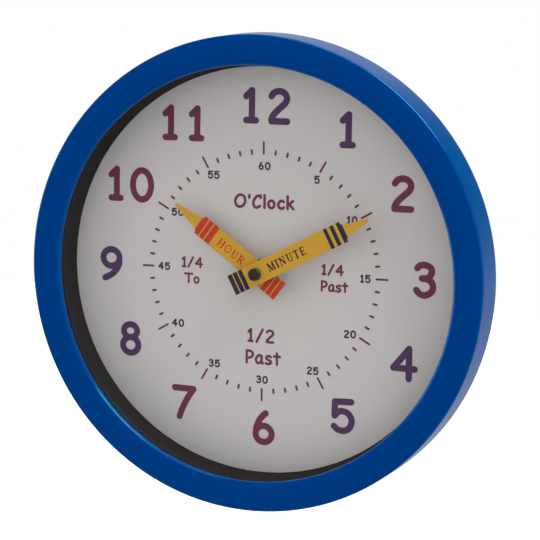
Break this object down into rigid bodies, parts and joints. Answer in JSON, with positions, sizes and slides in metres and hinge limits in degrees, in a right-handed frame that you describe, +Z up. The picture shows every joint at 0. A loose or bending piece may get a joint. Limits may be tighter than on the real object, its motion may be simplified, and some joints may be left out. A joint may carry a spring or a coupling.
{
  "type": "teaching wall clock",
  "caption": "Round wall clock for teaching the time: blue moulded frame, printed white dial, two crayon-shaped hands and a geared quartz movement.",
  "frame": {"origin": "centre of the keyhole's entry on the wall plane", "axes": "+Y into the wall, so the dial faces -Y; +Z up, towards 12 o'clock; +X towards 3 o'clock"},
  "size_m": [0.3048, 0.0482, 0.3048],
  "materials": {
    "blue_shell": "gloss",
    "clear_glass": "gloss",
    "black_strip": "matte",
    "white_card": "matte",
    "dark_shell": "matte",
    "screw_steel": "satin",
    "case_plastic": "matte",
    "plate_plastic": "satin",
    "brass": "satin",
    "black_steel": "satin",
    "rubber": "matte",
    "cell_jacket": "gloss",
    "contact_sheet": "satin",
    "board_green": "satin",
    "crystal_can": "satin",
    "wheel_plastic": "satin",
    "copper_wire": "gloss",
    "soft_iron": "satin",
    "magnet": "satin",
    "knob_plastic": "satin",
    "yellow_sheet": "satin",
    "cap_black": "satin"
  },
  "bodies": {
    "clock": {"frame": "blue_shell", "lens": "clear_glass", "spacer_ring": "black_strip", "dial": "white_card", "back_shell": "dark_shell", "frame_screws": "screw_steel", "movement_case": "case_plastic", "movement_cover": "case_plastic", "middle_plate": "plate_plastic", "threaded_bushing": "brass", "mounting_nut": "black_steel", "nut_washer": "black_steel", "rubber_washer": "rubber", "battery_cell": "cell_jacket", "contact_positive": "contact_sheet", "contact_negative": "contact_sheet", "circuit_board": "board_green", "quartz_crystal": "crystal_can", "coil_bobbin": "wheel_plastic", "coil_winding": "copper_wire", "coil_core": "soft_iron", "stator": "soft_iron"},
    "rotor_part": {"rotor": "magnet"},
    "intermediate_part": {"intermediate_wheel": "wheel_plastic"},
    "seconds_part": {"seconds_wheel": "wheel_plastic"},
    "third_part": {"third_wheel": "wheel_plastic"},
    "centre_part": {"centre_wheel": "wheel_plastic"},
    "minute_part": {"minute_arbor": "brass", "clutch_spring": "contact_sheet", "minute_hand": "yellow_sheet", "hand_cap": "cap_black"},
    "setting_part": {"minute_wheel": "wheel_plastic", "setting_knob": "knob_plastic"},
    "hour_part": {"hour_wheel": "wheel_plastic", "hour_hand": "yellow_sheet"}
  },
  "joints": [
    {"name": "minute_turn", "type": "hinge", "parent": "clock", "child": "minute_part", "pos_m": [0, -0.01, -0.106], "axis": [0, 1, 0], "continuous": true},
    {"name": "hour_turn", "type": "hinge", "parent": "clock", "child": "hour_part", "pos_m": [0, -0.01, -0.106], "axis": [0, 1, 0], "continuous": true},
    {"name": "setting_turn", "type": "hinge", "parent": "clock", "child": "setting_part", "pos_m": [0, -0.01, -0.0952], "axis": [0, 1, 0], "continuous": true},
    {"name": "rotor_turn", "type": "hinge", "parent": "clock", "child": "rotor_part", "pos_m": [-0.01124, -0.01, -0.09345], "axis": [0, 1, 0], "continuous": true},
    {"name": "intermediate_turn", "type": "hinge", "parent": "clock", "child": "intermediate_part", "pos_m": [-0.00774, -0.01, -0.09951], "axis": [0, 1, 0], "continuous": true},
    {"name": "seconds_turn", "type": "hinge", "parent": "clock", "child": "seconds_part", "pos_m": [0, -0.01, -0.106], "axis": [0, 1, 0], "continuous": true},
    {"name": "third_turn", "type": "hinge", "parent": "clock", "child": "third_part", "pos_m": [0.00958, -0.01, -0.10251], "axis": [0, 1, 0], "continuous": true},
    {"name": "centre_turn", "type": "hinge", "parent": "clock", "child": "centre_part", "pos_m": [0, -0.01, -0.106], "axis": [0, 1, 0], "continuous": true}
  ],
  "couplings": [
    {"joint": "hour_turn", "follows": "minute_turn", "ratio": 0.083333},
    {"joint": "setting_turn", "follows": "minute_turn", "ratio": -0.33333},
    {"joint": "intermediate_turn", "follows": "rotor_turn", "ratio": -0.16667},
    {"joint": "seconds_turn", "follows": "rotor_turn", "ratio": 0.033333},
    {"joint": "third_turn", "follows": "rotor_turn", "ratio": -0.0044444},
    {"joint": "centre_turn", "follows": "rotor_turn", "ratio": 0.00055556}
  ]
}
